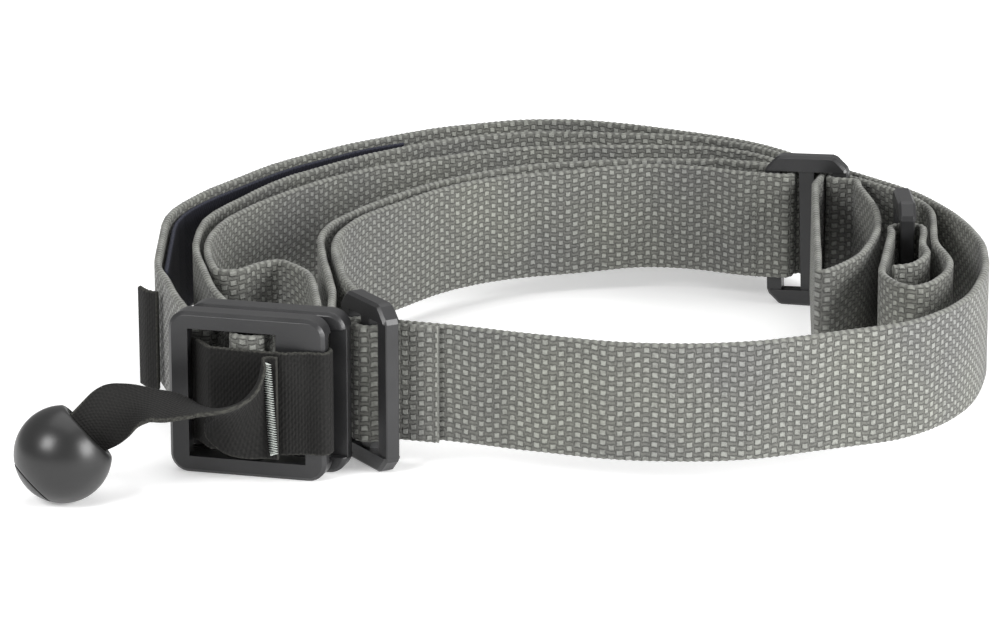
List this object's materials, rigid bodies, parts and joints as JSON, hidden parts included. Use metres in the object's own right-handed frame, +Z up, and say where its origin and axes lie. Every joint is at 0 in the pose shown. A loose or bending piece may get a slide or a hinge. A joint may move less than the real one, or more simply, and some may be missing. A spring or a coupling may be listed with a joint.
{
  "type": "coiled two-point carrying sling",
  "caption": "Grey webbing carrying sling coiled on its edge, with black moulded sliders, looped ends and a quick-adjust pull tab ending in a ball knob.",
  "frame": {"origin": "on the floor under the middle of the coil's overall box", "axes": "+Z up, the webbing standing on its edge; +Y from the side with the pull tab towards the back of the coil; +X from the ball knob's side towards the looped ends"},
  "size_m": [0.2622, 0.283, 0.046],
  "materials": {
    "webbing": "coarse plain-woven nylon, matte with a slight sheen on the raised yarns",
    "black_tape": "fine ribbed woven tape, matte",
    "grey_thread": "dense zigzag stitching",
    "black_plastic": "moulded acetal, fine satin texture",
    "ball_plastic": "moulded plastic, satin"
  },
  "bodies": {
    "coil": {"outer_strap": "webbing", "shoulder_liner": "black_tape", "liner_end_tab": "black_tape", "adjuster_strap_outer_leg": "webbing", "adjuster_strap_inner_leg": "webbing", "running_strap_outer_leg": "webbing", "running_strap_inner_leg": "webbing", "loop_1_weave_in": "webbing", "loop_1_strand": "webbing", "loop_1_weave_out": "webbing", "loop_1_tail": "webbing", "slider_ring": "black_plastic"},
    "quick_slider": {"quick_slider_frame": "black_plastic", "slider_tape": "black_tape", "adjuster_strap_fold": "webbing"},
    "pull_tab": {"pull_tab_strap": "black_tape", "pull_tab_bartack": "grey_thread"},
    "ball_knob": {"ball_body": "ball_plastic", "ball_end_cap": "ball_plastic", "pull_tab_fold": "black_tape"},
    "front_triglide": {"front_triglide": "black_plastic", "running_strap_fold": "webbing"},
    "loop_triglide_1": {"loop_triglide_1": "black_plastic"},
    "loop_triglide_2": {"loop_triglide_2": "black_plastic"}
  },
  "joints": [
    {"name": "slider_slide", "type": "slide", "parent": "coil", "child": "quick_slider", "axis": [0.9659, -0.2588, 0], "range_m": [-0.01, 0.025], "deforming": ["adjuster_strap_fold"]},
    {"name": "pull_tab_swing", "type": "hinge", "parent": "quick_slider", "child": "pull_tab", "pos_m": [-0.06352, -0.11518, 0.0209], "axis": [0, 0, 1], "range_deg": [0, 100]},
    {"name": "ball_lift", "type": "hinge", "parent": "pull_tab", "child": "ball_knob", "pos_m": [-0.10074, -0.12346, 0.0245], "axis": [0, 1, 0], "range_deg": [0, 75], "deforming": ["pull_tab_fold"]},
    {"name": "front_triglide_tilt", "type": "hinge", "parent": "coil", "child": "front_triglide", "pos_m": [-0.03989, -0.09616, 0.023], "axis": [0, 0, 1], "range_deg": [-8, 8], "deforming": ["running_strap_fold"]},
    {"name": "loop_triglide_1_slide", "type": "slide", "parent": "coil", "child": "loop_triglide_1", "axis": [0.9613, -0.2756, 0], "range_m": [-0.005, 0], "deforming": ["loop_1_weave_in", "loop_1_weave_out"]},
    {"name": "loop_triglide_2_tilt", "type": "hinge", "parent": "coil", "child": "loop_triglide_2", "pos_m": [0.11041, 0.00429, 0.023], "axis": [0, 0, 1], "range_deg": [-10, 7]}
  ]
}
